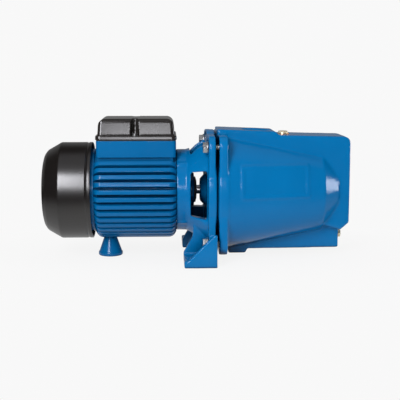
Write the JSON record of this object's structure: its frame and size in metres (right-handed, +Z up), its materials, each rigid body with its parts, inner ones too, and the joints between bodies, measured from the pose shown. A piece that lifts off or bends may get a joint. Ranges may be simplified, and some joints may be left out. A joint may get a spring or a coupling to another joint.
{
  "type": "shallow well jet pump",
  "caption": "Horizontal shallow well jet pump: a fan-cooled finned motor drives an impeller in a cast body with threaded suction and delivery ports, on a footed lantern bracket.",
  "frame": {"origin": "on the floor, midway between the centres of the two foot holes", "axes": "+X along the shaft from the fan to the suction port, +Y away from the camera, +Z up"},
  "size_m": [0.41, 0.184, 0.1885],
  "materials": {
    "blue_iron": "gloss",
    "blue_aluminium": "gloss",
    "black_cover": "satin",
    "gloss_cover": "gloss",
    "fan_plastic": "satin",
    "black_plastic": "satin",
    "cream_plastic": "satin",
    "steel": "satin",
    "zinc_steel": "gloss",
    "lamination": "matte",
    "copper": "satin",
    "aluminium": "satin",
    "brass": "satin",
    "rubber": "matte",
    "carbon": "matte",
    "ceramic": "satin"
  },
  "bodies": {
    "pump": {"fan_cover": "black_cover", "rear_end_shield": "blue_aluminium", "bearing_spring_washer": "steel", "rear_bearing_outer_ring": "steel", "front_bearing_outer_ring": "steel", "motor_frame": "blue_aluminium", "tie_rods": "steel", "tie_rod_nuts": "zinc_steel", "stator_core": "lamination", "stator_winding": "copper", "rear_foot": "blue_aluminium", "rear_foot_screw": "zinc_steel", "terminal_box": "blue_aluminium", "box_screws": "zinc_steel", "terminal_gasket": "rubber", "terminal_cover": "gloss_cover", "cover_screws": "zinc_steel", "terminal_block": "cream_plastic", "terminal_studs": "brass", "capacitor": "aluminium", "cable_gland": "black_plastic", "gland_nut": "black_plastic", "bracket": "blue_iron", "seal_seat": "ceramic", "diffuser": "black_plastic", "venturi_tube": "black_plastic", "venturi_o_ring": "rubber", "nozzle": "brass", "nozzle_o_ring": "rubber", "body_o_ring": "rubber", "pump_body": "blue_iron", "flange_bolts": "zinc_steel", "flange_washers": "zinc_steel", "priming_washer": "copper", "drain_washer": "copper"},
    "rotor": {"shaft": "steel", "cooling_fan": "fan_plastic", "fan_clip": "steel", "rotor_core": "lamination", "rotor_end_rings": "aluminium", "rear_bearing_inner_ring": "steel", "front_bearing_inner_ring": "steel", "slinger": "rubber", "seal_head": "carbon", "seal_spring": "steel", "impeller": "brass", "impeller_key": "steel", "impeller_nut": "zinc_steel"},
    "rear_balls": {"rear_bearing_balls": "steel"},
    "front_balls": {"front_bearing_balls": "steel"},
    "priming_plug": {"priming_plug": "brass"},
    "drain_plug": {"drain_plug": "brass"}
  },
  "joints": [
    {"name": "shaft_spin", "type": "hinge", "parent": "pump", "child": "rotor", "pos_m": [0, 0, 0.09], "axis": [1, 0, 0], "continuous": true},
    {"name": "rear_balls_roll", "type": "hinge", "parent": "pump", "child": "rear_balls", "pos_m": [0, 0, 0.09], "axis": [1, 0, 0], "continuous": true},
    {"name": "front_balls_roll", "type": "hinge", "parent": "pump", "child": "front_balls", "pos_m": [0, 0, 0.09], "axis": [1, 0, 0], "continuous": true},
    {"name": "priming_plug_lift", "type": "slide", "parent": "pump", "child": "priming_plug", "axis": [0, 0, 1], "range_m": [0, 0.03]},
    {"name": "drain_plug_pull", "type": "slide", "parent": "pump", "child": "drain_plug", "axis": [1, 0, 0], "range_m": [0, 0.03]}
  ],
  "couplings": [
    {"joint": "rear_balls_roll", "follows": "shaft_spin", "ratio": 0.38},
    {"joint": "front_balls_roll", "follows": "shaft_spin", "ratio": 0.38}
  ]
}
